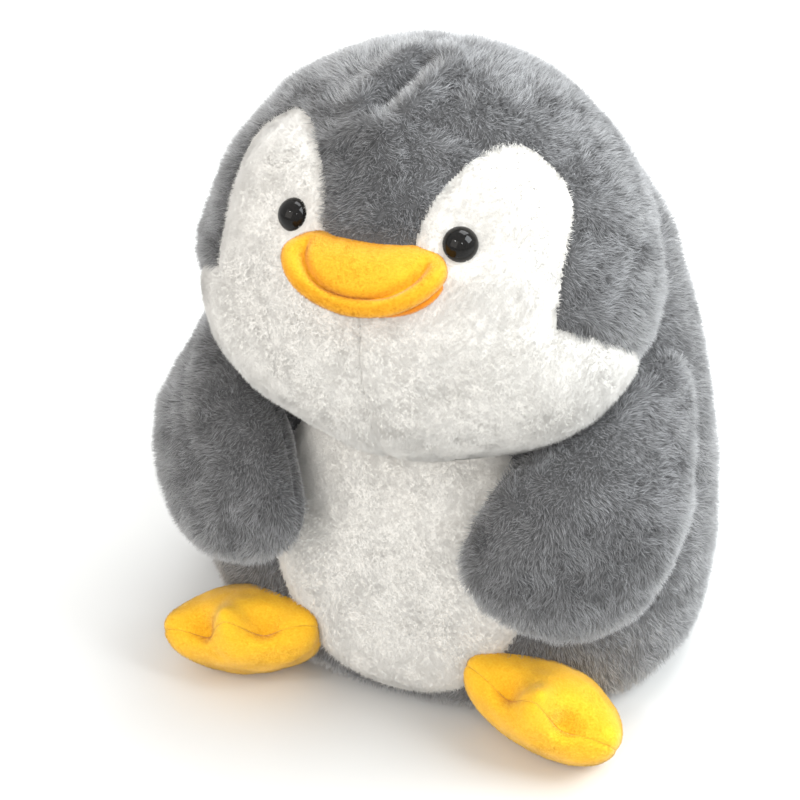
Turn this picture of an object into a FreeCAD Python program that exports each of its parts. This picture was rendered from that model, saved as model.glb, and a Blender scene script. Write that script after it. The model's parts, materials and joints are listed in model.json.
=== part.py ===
import FreeCAD, Part
import math
import os

# A sitting plush penguin: a round head on a pear-shaped body, two paddle wings and two webbed feet.
# Units are millimetres.  +Z is up, the penguin faces -Y and its left side is +X.  The origin is the
# middle of the flat underside, on the surface that the toy sits on.
#
# Every stuffed form is made twice, once full size and once smaller by the thickness of the plush.
# The difference of the two is the fabric skin, which is cut into its sewn panels, and the smaller
# one is the stuffing.  Where a head, wing or foot meets the body, its rounded root sits in a pocket
# of the body, so that the sewn joint can flex without two pieces running into each other.

Vector = FreeCAD.Vector
Rotation = FreeCAD.Rotation
doc = FreeCAD.newDocument("PlushPenguin")
sheet = doc.addObject("Spreadsheet::Sheet", "Dims")

DRIVING_SIZES = {
    "skin": 3.0,              # plush fabric with its pile
    "head_gap": 2.2,          # room between head and body, used up as the head nods
    "limb_gap": 0.8,          # room round the root of a limb, and behind a wing
    "foot_gap": 6.0,          # room between the body and the top of a foot
    "reach": 500.0,           # side of the boxes that split the panels
    # head
    "head_wide": 110.0,
    "head_deep": 97.0,
    "head_tall": 105.0,
    "head_ahead": 43.0,
    "head_lift": 260.0,
    "head_tilt": 8.0,         # degrees, chin forward
    # white face
    "patch_side": 51.0,
    "patch_ahead": 150.0,
    "patch_lift": 305.0,
    "patch_wide": 31.0,
    "patch_deep": 120.0,
    "patch_tall": 45.0,
    "jaw_ahead": 112.0,       # a point on the jaw seam
    "jaw_lift": 274.0,
    "jaw_slope": 38.0,        # degrees, down towards the back
    "forehead_half": 51.0,
    "forehead_ahead": 86.0,
    # eyes
    "eye_turn": 22.5,         # degrees to each side of the middle
    "eye_rise": 23.0,         # degrees above the head's widest level
    "eye_ball": 8.0,
    "eye_sunk": 3.0,
    "stem": 2.2,
    "stem_length": 13.0,
    "washer": 8.5,
    "washer_thick": 1.6,
    "washer_depth": 4.2,
    # beak
    "beak_ahead": 131.0,
    "beak_lift": 299.0,
    "beak_wide": 38.0,
    "beak_deep": 26.0,
    "beak_tall": 11.5,
    "beak_skin": 1.6,
    "lip_ahead": 129.0,
    "lip_lift": 283.0,
    "lip_wide": 27.0,
    "lip_deep": 20.0,
    "lip_tall": 8.0,
    "beak_droop": 12.0,       # degrees
    "beak_gap": 0.3,
    # body
    "base_thick": 6.0,
    "belly_ahead": 120.0,
    "belly_lift": 112.0,
    "belly_wide": 76.0,
    "belly_deep": 105.0,
    "belly_tall": 104.0,
    # wings
    "shoulder_side": 114.0,
    "shoulder_ahead": 48.0,
    "shoulder_lift": 176.0,
    "shoulder_ball": 18.0,
    "shoulder_along": 48.0,   # from the wing's middle to the shoulder, along the wing
    "wing_wide": 52.0,
    "wing_deep": 27.0,
    "wing_tall": 63.0,
    "wing_rim_back": 2.0,     # the edge seam, behind the wing's middle
    # feet
    "foot_side": 86.0,
    "foot_ahead": 103.0,
    "foot_lift": 26.0,
    "foot_wide": 42.0,
    "foot_deep": 36.0,
    "foot_tall": 24.0,
    "foot_pitch": 23.0,       # degrees, toes up
    "foot_roll": 16.0,        # degrees, outer edge down
    "ankle_side": 82.0,
    "ankle_ahead": 86.0,
    "ankle_lift": 24.0,
    "ankle_turn": 29.0,       # degrees from straight across the body
    "heel_wide": 26.0,
    "heel_deep": 18.0,
    "heel_tall": 18.0,
    "sole_thick": 2.0,
    "toe_wide": 12.0,
    "toe_deep": 14.0,
    "toe_tall": 11.0,
    "toe_spread": 31.0,
    "toe_outer_reach": 16.0,
    "toe_middle_reach": 28.0,
    "tack": 0.8,
    "tack_spread": 16.0,
    "tack_reach": 25.0,
    # crown tuck
    "tuck_half": 7.0,
    "tuck_thread": 0.8,
    "tuck_lean": 12.0,        # degrees in front of the head's top
}

# The body's oval sections, from the seat up: height, half width, half depth, shift to the back.
BODY_SECTIONS = [
    (0.0, 107.0, 83.0, 0.0),
    (8.0, 129.0, 99.0, 0.0),
    (25.0, 142.0, 107.0, 0.0),
    (60.0, 148.0, 110.0, 0.0),
    (100.0, 147.0, 109.0, 1.0),
    (140.0, 141.0, 106.0, 5.0),
    (180.0, 130.0, 100.0, 11.0),
    (220.0, 116.0, 91.0, 19.0),
    (255.0, 98.0, 77.0, 28.0),
    (280.0, 70.0, 53.0, 35.0),
    (292.0, 32.0, 23.0, 38.0),
]

# Amounts by which a form is made smaller, each a list of sheet names with a sign.  A pocket is larger
# than what sits in it, and its fabric lining makes the stuffing's pocket larger again.
OUTER = []
INNER = [(1, "skin")]
HEAD_POCKET = [(-1, "head_gap")]
HEAD_LINED = [(-1, "head_gap"), (-1, "skin")]
LIMB_POCKET = [(-1, "limb_gap")]
LIMB_LINED = [(-1, "limb_gap"), (-1, "skin")]
BEHIND_FOOT = [(-1, "foot_gap")]
BEHIND_FOOT_LINED = [(-1, "foot_gap"), (-1, "skin")]

# Directions of the left wing: along it towards the shoulder, and out of its broad face.
WING_ALONG = Vector(21.0, 61.0, 104.0).normalize()
WING_OUT = Vector(0.57, -0.76, 0.30).normalize()

LEFTWARD = Vector(1, 0, 0)
BACKWARD = Vector(0, 1, 0)
UPWARD = Vector(0, 0, 1)


# ---------------------------------------------------------------- sheet and document helpers

def fill_sheet():
    """Write every driving size into the sheet, one row each, with its name as the alias."""
    sizes = dict(DRIVING_SIZES)
    for number, section in enumerate(BODY_SECTIONS):
        for word, value in zip(("height", "wide", "deep", "shift"), section):
            sizes["section_%s_%d" % (word, number)] = value
    for row, (name, value) in enumerate(sizes.items(), start=1):
        sheet.set("A%d" % row, name.replace("_", " "))
        sheet.set("B%d" % row, str(value))
        sheet.setAlias("B%d" % row, name)
    doc.recompute()


def size(name):
    """A driving size, read back from the sheet."""
    return float(getattr(sheet, name))


def less(name, inset):
    """The expression for a size made smaller by an inset."""
    words = ["Dims." + name]
    for sign, part in inset:
        words.append("%s Dims.%s" % ("-" if sign > 0 else "+", part))
    return " ".join(words)


def amount(inset):
    return sum(sign * size(part) for sign, part in inset)


def add(kind, name, **expressions):
    """A document object whose properties are bound to the sheet."""
    item = doc.addObject(kind, name)
    for prop, expression in expressions.items():
        item.setExpression(prop, expression)
    return item


def place(item, position, rotation=Rotation()):
    item.Placement = FreeCAD.Placement(position, rotation)
    return item


def ellipsoid(name, prefix, inset, position, rotation=Rotation(), poles="deep"):
    """An ellipsoid whose half axes are the sheet's PREFIX_wide, PREFIX_deep and PREFIX_tall.

    They lie along X, Y and Z of the given rotation.  The surface's two poles are put on the axis
    named by poles, so that no cut runs close to one.
    """
    wide, deep, tall = [less("%s_%s" % (prefix, word), inset) for word in ("wide", "deep", "tall")]
    if poles == "deep":
        form = add("Part::Ellipsoid", name, Radius1=deep, Radius2=wide, Radius3=tall)
        return place(form, position, rotation * Rotation(LEFTWARD, -90))
    form = add("Part::Ellipsoid", name, Radius1=wide, Radius2=tall, Radius3=deep)
    return place(form, position, rotation * Rotation(BACKWARD, 90))


def cut(name, base, tool):
    item = doc.addObject("Part::Cut", name)
    item.Base = base
    item.Tool = tool
    return item


def common(name, base, tool):
    item = doc.addObject("Part::Common", name)
    item.Base = base
    item.Tool = tool
    return item


def fuse(name, *shapes):
    item = doc.addObject("Part::MultiFuse", name)
    item.Shapes = list(shapes)
    return item


def mirror(name, source):
    """The same piece on the penguin's other side."""
    item = doc.addObject("Part::Mirroring", name)
    item.Source = source
    item.Base = Vector(0, 0, 0)
    item.Normal = LEFTWARD
    return item


def pair(name, source):
    """One tool made of a left form and its mirror image."""
    return fuse(name, source, mirror(name + "Mirrored", source))


def big_box(name, middle_of_bottom, rotation=Rotation()):
    """A box that reaches past the whole toy, standing on the given point and turned about it."""
    box = add("Part::Box", name, Length="2 * Dims.reach", Width="2 * Dims.reach", Height="Dims.reach")
    reach = size("reach")
    return place(box, middle_of_bottom - rotation.multVec(Vector(reach, reach, 0)), rotation)


def side_box(name):
    """Everything to the penguin's left of its middle plane."""
    return big_box(name, Vector(0, 0, 0), Rotation(UPWARD, LEFTWARD))


subparts = []


def subpart(item, node):
    """Name a finished piece: its label is the name of its file."""
    item.Label = node
    subparts.append(item)
    return item


# ---------------------------------------------------------------- places and directions

def head_centre():
    return Vector(0, -size("head_ahead"), size("head_lift"))


def head_rotation():
    return Rotation(LEFTWARD, -size("head_tilt"))


def head_point(turn, rise):
    """A point of the head's surface, and the outward direction there; both angles in degrees."""
    across = math.radians(turn)
    up = math.radians(rise)
    unit = Vector(math.sin(across) * math.cos(up), -math.cos(across) * math.cos(up), math.sin(up))
    half = Vector(size("head_wide"), size("head_deep"), size("head_tall"))
    point = Vector(unit.x * half.x, unit.y * half.y, unit.z * half.z)
    normal = Vector(unit.x / half.x, unit.y / half.y, unit.z / half.z)
    tilt = head_rotation()
    return head_centre() + tilt.multVec(point), tilt.multVec(normal).normalize()


def to_side(vector, side):
    """A left-hand position or direction as it is on the left (1) or on the right (-1)."""
    return Vector(side * vector.x, vector.y, vector.z)


def shoulder(side):
    return to_side(Vector(size("shoulder_side"), -size("shoulder_ahead"), size("shoulder_lift")), side)


def wing_centre(side):
    return shoulder(side) - to_side(WING_ALONG, side) * size("shoulder_along")


def wing_rotation(side):
    """Local Z runs along the wing to the shoulder, and local Y out of its face."""
    return Rotation(Vector(), to_side(WING_OUT, side), to_side(WING_ALONG, side), "ZYX")


def foot_centre():
    return Vector(size("foot_side"), -size("foot_ahead"), size("foot_lift"))


def foot_rotation():
    """Local -Y points to the toes, tipped up, with the outer edge lower than the inner one."""
    return Rotation(LEFTWARD, -size("foot_pitch")) * Rotation(BACKWARD, size("foot_roll"))


def foot_point(side, reach):
    """A point in the foot's middle plane, so far to its outer side and so far to the toes."""
    return foot_centre() + foot_rotation().multVec(Vector(side, -reach, 0))


# ---------------------------------------------------------------- stuffed forms

def head_form(name, inset):
    return ellipsoid(name, "head", inset, head_centre(), head_rotation(), poles="wide")


def body_form(name, inset):
    """The pear-shaped body, lofted through its oval sections."""
    rings = []
    last = len(BODY_SECTIONS) - 1
    for number in range(last + 1):
        ring = add("Part::Ellipse", "%sRing%d" % (name, number),
                   MajorRadius=less("section_wide_%d" % number, inset),
                   MinorRadius=less("section_deep_%d" % number, inset))
        height = size("section_height_%d" % number)
        if number == 0:
            height += amount(inset)
        if number == last:
            height -= amount(inset)
        rings.append(place(ring, Vector(0, size("section_shift_%d" % number), height)))
    loft = doc.addObject("Part::Loft", name)
    loft.Sections = rings
    loft.Solid = True
    return loft


def shoulder_form(name, side, inset):
    ball = add("Part::Sphere", name, Radius=less("shoulder_ball", inset))
    return place(ball, shoulder(side), wing_rotation(side) * Rotation(BACKWARD, 90))


def ankle_form(name, inset):
    """The heel: an ellipsoid that is round about the ankle's hinge line."""
    position = Vector(size("ankle_side"), -size("ankle_ahead"), size("ankle_lift"))
    return ellipsoid(name, "heel", inset, position, Rotation(UPWARD, size("ankle_turn")), poles="wide")


def wing_form(name, side, inset, behind):
    """A wing: a flat paddle shaped to the body behind it, ending in the shoulder ball."""
    turn = wing_rotation(side)
    paddle = ellipsoid(name + "Paddle", "wing", inset, wing_centre(side), turn)
    top = shoulder(side) - to_side(WING_ALONG, side) * amount(inset)
    above = big_box(name + "Above", top, turn)
    blade = cut(name + "Blade", cut(name + "Trimmed", paddle, above), body_form(name + "Body", behind))
    return fuse(name, blade, shoulder_form(name + "Ball", side, inset))


def toe_places():
    """Outer, middle and inner toe, as side and reach in the foot's middle plane."""
    spread = size("toe_spread")
    outer = size("toe_outer_reach")
    return [(spread, outer), (0.0, size("toe_middle_reach")), (-spread, outer)]


def foot_form(name, inset, behind, floor_inset):
    """A left foot: a pillow with three toe tips, flat where it stands, with its heel in the body."""
    pillow = ellipsoid(name + "Pillow", "foot", inset, foot_centre(), foot_rotation())
    toes = []
    for number, (side, reach) in enumerate(toe_places()):
        toes.append(ellipsoid("%sToe%d" % (name, number), "toe", inset, foot_point(side, reach),
                              foot_rotation()))
    padded = fuse(name + "Padded", pillow, *toes)
    ahead = cut(name + "Ahead", padded, body_form(name + "Body", behind))
    whole = fuse(name + "Whole", ahead, ankle_form(name + "Heel", inset))
    floor = big_box(name + "Floor", Vector(0, 0, amount(floor_inset) - size("reach")))
    return cut(name, whole, floor)


def beak_place(prefix):
    return Vector(0, -size(prefix + "_ahead"), size(prefix + "_lift"))


def beak_form(name, prefix, inset, head_inset):
    """A pillow that grows out of the front of the head."""
    pillow = ellipsoid(name + "Pillow", prefix, inset, beak_place(prefix),
                       Rotation(LEFTWARD, size("beak_droop")))
    return cut(name, pillow, head_form(name + "Head", head_inset))


# ---------------------------------------------------------------- pieces

def make_body():
    """Two back panels, the white belly panel, the base panel and the stuffing."""
    outer = body_with_pockets("BodyOuter", OUTER, HEAD_POCKET, LIMB_POCKET)
    inner = body_with_pockets("BodyInner", INNER, HEAD_LINED, LIMB_LINED)
    fabric = cut("BodyFabric", outer, inner)
    base_box = big_box("BaseBox", Vector(0, 0, size("base_thick") - size("reach")))
    belly_egg = ellipsoid("BellyEgg", "belly", OUTER, Vector(0, -size("belly_ahead"), size("belly_lift")))
    subpart(common("BasePanel", fabric, base_box), "base_panel")
    walls = cut("BodyWalls", fabric, base_box)
    subpart(common("BellyPanel", walls, belly_egg), "belly_panel")
    back = cut("BodyBack", walls, belly_egg)
    right = cut("BackPanelRight", back, side_box("BodySide"))
    subpart(right, "back_panel_right")
    subpart(mirror("BackPanelLeft", right), "back_panel_left")
    subpart(inner, "body_stuffing")


def body_with_pockets(name, inset, head_pocket, limb_pocket):
    """The body's form with hollows for the head, the shoulders and the heels."""
    hollows = fuse(name + "Hollows", head_form(name + "HeadHollow", head_pocket),
                   shoulder_form(name + "ShoulderLeft", 1, limb_pocket),
                   shoulder_form(name + "ShoulderRight", -1, limb_pocket),
                   pair(name + "Heels", ankle_form(name + "HeelHollow", limb_pocket)))
    return cut(name, body_form(name + "Form", inset), hollows)


def face_region():
    """Everything inside the white face: a patch round each eye, and the jaw below its seam."""
    patch = ellipsoid("FacePatch", "patch", OUTER,
                      Vector(size("patch_side"), -size("patch_ahead"), size("patch_lift")))
    slope = Rotation(LEFTWARD, -size("jaw_slope"))
    seam = Vector(0, -size("jaw_ahead"), size("jaw_lift"))
    jaw = big_box("JawBox", seam - slope.multVec(Vector(0, 0, size("reach"))), slope)
    return fuse("FaceRegion", pair("FacePatches", patch), jaw)


def make_eye():
    """The left safety eye: a dome on a stem, and the washer that grips the stem inside."""
    seat, outward = head_point(size("eye_turn"), size("eye_rise"))
    turn = Rotation(UPWARD, outward)
    ball = place(add("Part::Sphere", "EyeBall", Radius="Dims.eye_ball"), seat - outward * size("eye_sunk"))
    front = big_box("EyeFront", seat - outward * size("eye_sunk"), turn)
    dome = common("EyeDome", ball, front)
    tail = seat - outward * (size("eye_sunk") + size("stem_length"))
    stem = place(add("Part::Cylinder", "EyeStem", Radius="Dims.stem", Height="Dims.stem_length"), tail, turn)
    eye = fuse("Eye", dome, stem)
    back = seat - outward * (size("eye_sunk") + size("washer_depth") + size("washer_thick"))
    disc = add("Part::Cylinder", "WasherDisc", Radius="Dims.washer", Height="Dims.washer_thick")
    washer = cut("Washer", place(disc, back, turn), stem)
    return eye, washer


def make_tuck():
    """The thread of the hand stitch that gathers the crown on its middle seam."""
    point, outward = head_point(0.0, 90.0 - size("tuck_lean"))
    along = Rotation(UPWARD, Vector(0, -outward.z, outward.y))
    start = point - along.multVec(UPWARD) * size("tuck_half")
    thread = add("Part::Cylinder", "TuckThread", Radius="Dims.tuck_thread", Height="2 * Dims.tuck_half")
    return subpart(place(thread, start, along), "crown_tuck_thread")


def make_head():
    """The panels of the head, its stuffing, the eyes with their washers, and the crown's tuck."""
    eye, washer = make_eye()
    eyes = [subpart(eye, "eye_left"), subpart(mirror("EyeRight", eye), "eye_right")]
    washers = [subpart(washer, "eye_washer_left"), subpart(mirror("WasherRight", washer), "eye_washer_right")]
    tuck = make_tuck()
    trim = fuse("HeadTrim", tuck, *(eyes + washers))
    inner = head_form("HeadInner", INNER)
    fabric = cut("HeadFabric", cut("HeadShell", head_form("HeadOuter", OUTER), inner), trim)
    subpart(cut("HeadStuffing", inner, trim), "head_stuffing")
    region = face_region()
    left = side_box("HeadSide")
    face = common("Face", fabric, region)
    face_right = cut("FacePanelRight", face, left)
    subpart(face_right, "face_panel_right")
    subpart(mirror("FacePanelLeft", face_right), "face_panel_left")
    grey = cut("HeadGrey", fabric, region)
    strip = add("Part::Box", "ForeheadBox", Length="2 * Dims.forehead_half", Width="Dims.reach",
                Height="2 * Dims.reach")
    place(strip, Vector(-size("forehead_half"), -size("forehead_ahead") - size("reach"), 0))
    subpart(common("ForeheadPanel", grey, strip), "forehead_panel")
    crown = cut("Crown", grey, strip)
    crown_right = cut("CrownPanelRight", crown, left)
    subpart(crown_right, "crown_panel_right")
    subpart(mirror("CrownPanelLeft", crown_right), "crown_panel_left")


def make_beak():
    """The upper bill with its own stuffing, and the small lower bill under it."""
    whole = beak_form("BeakWhole", "beak", OUTER, OUTER)
    core = beak_form("BeakCore", "beak", [(1, "beak_skin")], OUTER)
    subpart(cut("BeakUpper", whole, core), "beak_upper")
    subpart(core, "beak_stuffing")
    lip = beak_form("LipWhole", "lip", OUTER, OUTER)
    upper_room = ellipsoid("BeakRoom", "beak", [(-1, "beak_gap")], beak_place("beak"),
                           Rotation(LEFTWARD, size("beak_droop")))
    subpart(cut("BeakLower", lip, upper_room), "beak_lower")


def make_wing(word, side):
    """One wing: an outer and an inner panel sewn round the edge, and the stuffing."""
    start = "Wing" + word.capitalize()
    outer = wing_form(start + "Outer", side, OUTER, LIMB_POCKET)
    inner = wing_form(start + "Inner", side, INNER, LIMB_LINED)
    fabric = cut(start + "Fabric", outer, inner)
    rim = wing_centre(side) - to_side(WING_OUT, side) * size("wing_rim_back")
    middle = big_box(start + "Middle", rim, wing_rotation(side) * Rotation(LEFTWARD, -90))
    subpart(common(start + "Outside", fabric, middle), "wing_%s_outer" % word)
    subpart(cut(start + "Inside", fabric, middle), "wing_%s_inner" % word)
    subpart(inner, "wing_%s_stuffing" % word)


def make_feet():
    """Each foot: upper and sole sewn round the toes, the stuffing and the two toe tacks."""
    outer = foot_form("FootOuter", OUTER, BEHIND_FOOT, OUTER)
    inner = foot_form("FootInner", [(1, "sole_thick")], BEHIND_FOOT_LINED, [(1, "sole_thick")])
    tacks = []
    for number, side in enumerate((-size("tack_spread"), size("tack_spread"))):
        tack = add("Part::Cylinder", "ToeTack%d" % number, Radius="Dims.tack", Height="2 * Dims.foot_tall")
        drop = foot_rotation().multVec(UPWARD) * size("foot_tall")
        tacks.append(place(tack, foot_point(side, size("tack_reach")) - drop, foot_rotation()))
    threads = common("ToeTacks", fuse("ToeTackPair", *tacks), outer)
    fabric = cut("FootFabric", cut("FootShell", outer, inner), threads)
    middle = big_box("FootMiddle", foot_centre(), foot_rotation())
    pieces = {
        "upper": common("FootUpper", fabric, middle),
        "sole": cut("FootSole", fabric, middle),
        "stuffing": cut("FootStuffing", inner, threads),
        "toe_tacks": threads,
    }
    for word, piece in pieces.items():
        subpart(piece, "foot_left_" + word)
        subpart(mirror(piece.Name + "Right", piece), "foot_right_" + word)


def check_and_write():
    """Stop if anything failed, then write one STEP file for each piece."""
    doc.recompute()
    failed = [item.Name for item in doc.Objects if "Invalid" in item.State or "Error" in item.State]
    if failed:
        raise RuntimeError("failed: " + ", ".join(failed))
    for item in subparts:
        if item.Shape.isNull() or not item.Shape.isValid() or not item.Shape.Solids:
            raise RuntimeError("bad shape: " + item.Label)
    os.makedirs("parts", exist_ok=True)
    for item in subparts:
        item.Shape.exportStep("parts/%s.step" % item.Label)
        volume = item.Shape.Volume / 1000.0
        print("%-20s %d solid(s) %8.1f cm3" % (item.Label, len(item.Shape.Solids), volume))


fill_sheet()
make_body()
make_head()
make_beak()
make_wing("left", 1)
make_wing("right", -1)
make_feet()
check_and_write()
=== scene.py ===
import json
import math

import bpy
import numpy as np
from mathutils import Matrix, Vector


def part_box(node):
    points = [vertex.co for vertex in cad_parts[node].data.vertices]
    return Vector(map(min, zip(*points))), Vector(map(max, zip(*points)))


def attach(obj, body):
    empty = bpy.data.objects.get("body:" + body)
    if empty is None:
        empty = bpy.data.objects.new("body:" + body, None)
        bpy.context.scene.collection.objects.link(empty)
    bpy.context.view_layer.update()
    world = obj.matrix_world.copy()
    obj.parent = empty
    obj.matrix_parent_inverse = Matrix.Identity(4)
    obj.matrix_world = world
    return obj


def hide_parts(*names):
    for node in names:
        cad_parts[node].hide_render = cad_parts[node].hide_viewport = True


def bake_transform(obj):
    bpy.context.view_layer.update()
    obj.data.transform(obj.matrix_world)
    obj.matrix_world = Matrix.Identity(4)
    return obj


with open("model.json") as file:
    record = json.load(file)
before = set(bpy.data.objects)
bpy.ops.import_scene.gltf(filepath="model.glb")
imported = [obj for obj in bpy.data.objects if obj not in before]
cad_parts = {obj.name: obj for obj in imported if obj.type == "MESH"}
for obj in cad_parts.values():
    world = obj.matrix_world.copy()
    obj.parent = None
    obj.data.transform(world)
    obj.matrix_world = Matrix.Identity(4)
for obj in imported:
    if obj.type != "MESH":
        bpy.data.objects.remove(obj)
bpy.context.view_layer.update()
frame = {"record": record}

# A sitting plush penguin.  Every stuffed form is a closed surface made from a sphere of quads, pushed
# into shape, split into its sewn panels, and covered with a pile of fine tapered fibres.  Lengths are
# metres, the penguin faces -Y and its left side is +X.

MM = 0.001
FIBRE_LIMIT = 66000
CLOTH_THICK = 0.0012
THREAD_RADIUS = 0.0008
EYE_RADIUS = 0.0080


# ---------------------------------------------------------------- frame: places and sizes

def joint(name):
    return next(j for j in frame["record"]["behaviour"]["joints"] if j["name"] == name)


def span(*nodes):
    """Middle and half sizes of the box round some CAD nodes."""
    corners = [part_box(node) for node in nodes]
    low = np.min([np.array(c[0]) for c in corners], axis=0)
    high = np.max([np.array(c[1]) for c in corners], axis=0)
    return (low + high) / 2, (high - low) / 2


HEAD_MIDDLE = span("crown_panel_left", "crown_panel_right", "face_panel_left", "face_panel_right")[0]
HEAD_TILT = -8.0
SHOULDER = np.array(joint("wing_left_lift")["pos_m"])
HEAD_AXES = np.array([0.110, 0.097, 0.105])
BEAK_PLACE = np.array([0.0, -0.1300, 0.2975])
BILL_PLACE = np.array([0.005, -0.1275, 0.2885])
BEAK_TILT = 12.0
FOOT_PLACE = np.array([0.086, -0.103, 0.026])
BODY_TOP = 0.292

# The body's oval sections: height, half width, half depth and shift to the back, in millimetres.
BODY_SECTIONS = np.array([
    (0.0, 0.0, 0.0, 0.0),
    (0.0, 60.0, 46.0, 0.0),
    (0.0, 104.0, 80.0, 0.0),
    (3.0, 124.0, 94.0, 0.0),
    (10.0, 137.0, 102.0, 0.0),
    (25.0, 146.0, 108.0, 0.0),
    (60.0, 149.0, 110.0, 0.0),
    (100.0, 147.0, 109.0, 1.0),
    (140.0, 141.0, 106.0, 5.0),
    (180.0, 130.0, 100.0, 11.0),
    (220.0, 116.0, 91.0, 19.0),
    (255.0, 98.0, 77.0, 28.0),
    (278.0, 72.0, 55.0, 35.0),
    (289.0, 40.0, 30.0, 38.0),
    (292.0, 0.0, 0.0, 38.0),
]) * MM


# ---------------------------------------------------------------- numbers in space

def unit(vectors):
    return vectors / np.maximum(np.linalg.norm(vectors, axis=-1, keepdims=True), 1e-12)


def smooth(low, high, value):
    """0 below low, 1 above high, and an easy curve between them."""
    t = np.clip((value - low) / (high - low), 0.0, 1.0)
    return t * t * (3.0 - 2.0 * t)


def hill(distance, width):
    return np.exp(-(distance / width) ** 2)


def value_noise(points, cell, seed):
    """Smooth noise from -1 to 1 in three dimensions, on a lattice of the given cell size."""
    table = np.random.default_rng(seed).uniform(-1.0, 1.0, 4096)
    scaled = points / cell + 1000.0
    base = np.floor(scaled).astype(np.int64)
    part = scaled - base
    part = part * part * (3.0 - 2.0 * part)
    total = np.zeros(len(points))
    for corner in range(8):
        offset = np.array([corner & 1, (corner >> 1) & 1, corner >> 2])
        at = base + offset
        index = (at[:, 0] * 73856093 ^ at[:, 1] * 19349663 ^ at[:, 2] * 83492791) % 4096
        weight = np.prod(np.where(offset, part, 1.0 - part), axis=1)
        total += weight * table[index]
    return total


def noise_vectors(points, cell, seed):
    return np.stack([value_noise(points, cell, seed + k) for k in range(3)], axis=1)


def frame_of(along_z, toward_y):
    """A rotation matrix whose Z column is exact and whose Y column is as near as it can be."""
    z = unit(np.array(along_z, float))
    y = np.array(toward_y, float)
    y = unit(y - z * (y @ z))
    return np.stack([np.cross(y, z), y, z], axis=1)


def turned(axis, degrees):
    return np.array(Matrix.Rotation(math.radians(degrees), 3, axis))


def sphere_of_quads(count):
    """Unit vectors, quads and a face atlas for a sphere made of six square grids."""
    steps = np.tan(np.linspace(-np.pi / 4, np.pi / 4, count + 1))
    u, v = np.meshgrid(steps, steps, indexing="ij")
    one = np.ones_like(u)
    sides = [(one, u, v), (-one, v, u), (v, one, u), (u, -one, v), (u, v, one), (v, u, -one)]
    points = np.concatenate([np.stack([c.ravel() for c in side], 1) for side in sides])
    grid = np.arange((count + 1) ** 2).reshape(count + 1, count + 1)
    quad = np.stack([grid[:-1, :-1], grid[1:, :-1], grid[1:, 1:], grid[:-1, 1:]], -1).reshape(-1, 4)
    quads = np.concatenate([quad + k * (count + 1) ** 2 for k in range(6)])
    keys = np.round(unit(points) * 1e6).astype(np.int64)
    _, first, merged = np.unique(keys, axis=0, return_index=True, return_inverse=True)
    merged = merged.ravel()
    margin = np.linspace(0.01, 0.99, count + 1)
    gu, gv = np.meshgrid(margin, margin, indexing="ij")
    cells = [((k % 3 + gu.ravel()) / 3.0, (k // 3 + gv.ravel()) / 2.0) for k in range(6)]
    atlas = np.concatenate([np.stack(cell, 1) for cell in cells])
    return unit(points[first]), merged[quads], atlas[quads]


class Surface:
    """A closed skin of quads, with a normal at every point."""

    def __init__(self, points, quads, atlas, ways):
        self.points = points
        self.quads = quads
        self.atlas = atlas
        self.ways = ways[quads].mean(axis=1)
        self.normals = self.point_normals()

    def point_normals(self):
        p = self.points[self.quads]
        face = np.cross(p[:, 2] - p[:, 0], p[:, 3] - p[:, 1])
        total = np.zeros_like(self.points)
        for corner in range(4):
            np.add.at(total, self.quads[:, corner], face)
        return unit(total)

    def push(self, amount):
        """Move every point along its normal."""
        self.points = self.points + self.normals * np.asarray(amount)[:, None]
        self.normals = self.point_normals()

    def face_middles(self):
        return self.points[self.quads].mean(axis=1)


def section_at(height, column):
    """A column of the body sections at each height, in straight steps between them."""
    rows = BODY_SECTIONS[2:]
    return np.interp(height, rows[:, 0], rows[:, column])


def smooth_table(table, positions):
    """Rows of a table at fractional positions, on a Catmull-Rom curve."""
    last = len(table) - 1
    base = np.clip(np.floor(positions).astype(int), 0, last - 1)
    t = (positions - base)[:, None]
    a, b = table[np.maximum(base - 1, 0)], table[base]
    c, d = table[base + 1], table[np.minimum(base + 2, last)]
    square, cube = 2 * a - 5 * b + 4 * c - d, 3 * b - a - 3 * c + d
    return 0.5 * (2 * b + (c - a) * t + square * t ** 2 + cube * t ** 3)


# ---------------------------------------------------------------- regions: which plush goes where

def to_head(points):
    """Row positions in the head's own tilted frame, in head half sizes."""
    return (points - HEAD_MIDDLE) @ turned("X", HEAD_TILT) / HEAD_AXES


def head_point(turn, rise):
    """A point of the head's surface and the outward direction there, for two angles in degrees."""
    across, up = math.radians(turn), math.radians(rise)
    way = np.array([math.sin(across) * math.cos(up), -math.cos(across) * math.cos(up), math.sin(up)])
    tilt = turned("X", HEAD_TILT)
    return HEAD_MIDDLE + tilt @ (way * HEAD_AXES), tilt @ unit(way / HEAD_AXES)


def face_depth(points):
    """How far inside the white face a point of the head is, in metres; negative outside it."""
    x, y, z = points.T
    wide = np.where(x < 0, 0.0305, 0.0300)
    side = (np.abs(x + 0.002) - 0.0215 - wide - 0.05 * np.clip(0.305 - z, 0.0, 0.03)) / wide
    ahead = (y + 0.150) / 0.120 * smooth(0.300, 0.335, z)
    rise = np.maximum(z - 0.305, 0.0) / 0.045
    patch = (1.0 - np.sqrt(side ** 2 + ahead ** 2 + rise ** 2)) * 0.034
    patch = np.where(y > HEAD_MIDDLE[1] + 0.01, -0.02, patch)
    jaw = (0.274 - 0.78 * (y + 0.112) - z) * 0.79
    return np.maximum(patch, jaw)


def belly_depth(points):
    """How far inside the white belly panel a point of the body is; negative outside it."""
    x, y, z = points.T
    egg = np.sqrt((x / 0.076) ** 2 + ((y + 0.120) / 0.105) ** 2 + ((z - 0.112) / 0.104) ** 2)
    return (1.0 - egg) * 0.078


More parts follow.
